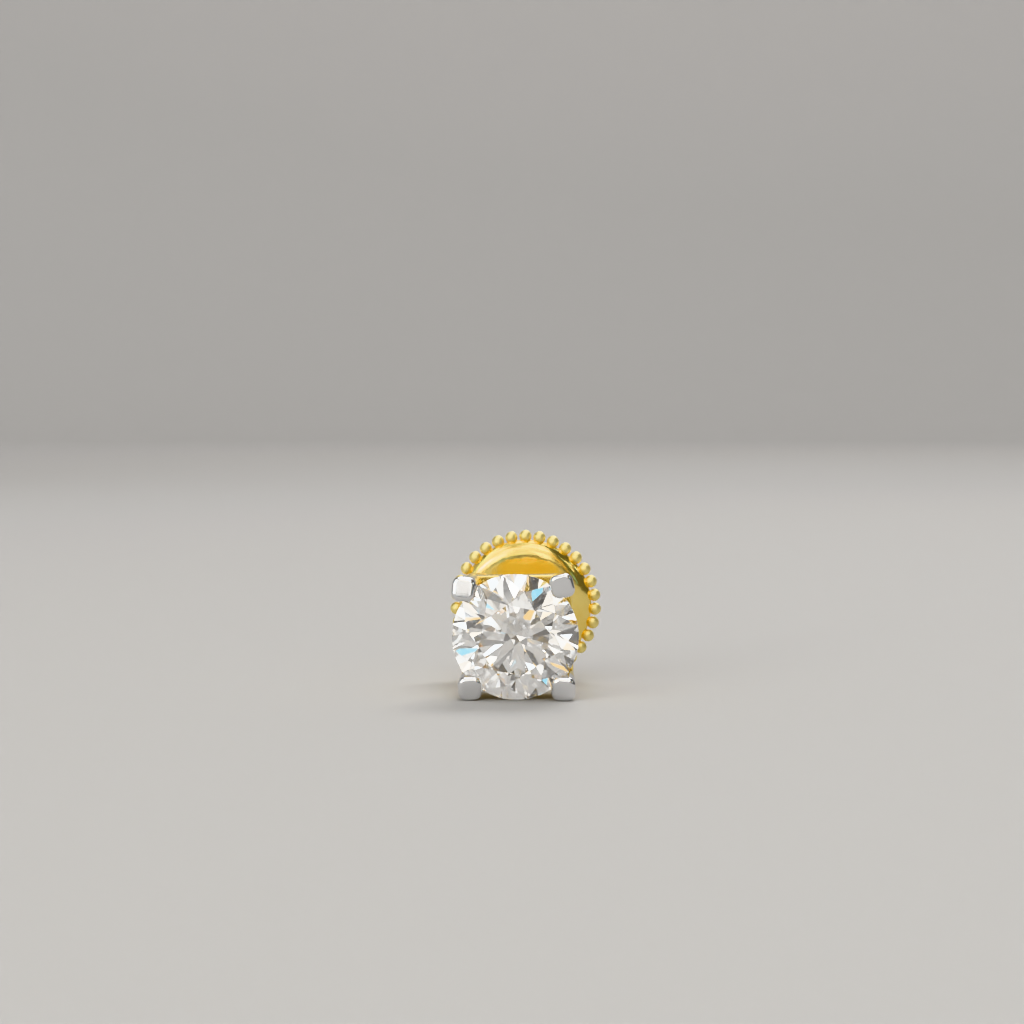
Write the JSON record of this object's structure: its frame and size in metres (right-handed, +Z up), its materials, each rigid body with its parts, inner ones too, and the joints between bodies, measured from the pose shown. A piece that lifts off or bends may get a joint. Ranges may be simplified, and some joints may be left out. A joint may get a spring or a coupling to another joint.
{
  "type": "diamond stud earring with screw back",
  "caption": "Stud earring: a prong-set round brilliant on a threaded post, with a beaded screw back that travels along it.",
  "frame": {"origin": "on the surface it rests on, under the middle of its bounding box", "axes": "+Z up, the stone faces -Y and the post runs back towards +Y, rising 4.7 degrees because the beaded back is larger than the setting"},
  "size_m": [0.0066, 0.0136, 0.0066],
  "materials": {
    "gold": "polished",
    "diamond": "polished"
  },
  "bodies": {
    "root": {"diamond": "diamond", "setting": "gold"},
    "thread": {"back_thread": "gold"},
    "back": {"screw_back": "gold"}
  },
  "joints": [
    {"name": "back_travel", "type": "slide", "parent": "root", "child": "thread", "axis": [0, 0.9967, 0.0816], "range_m": [-0.00045, 0.0054]},
    {"name": "back_turn", "type": "hinge", "parent": "thread", "child": "back", "pos_m": [0, 0.00239, 0.00327], "axis": [0, 0.9967, 0.0816], "range_deg": [-541, 6481]}
  ],
  "couplings": [
    {"joint": "back_turn", "follows": "back_travel", "rad_per_m": 20944}
  ]
}
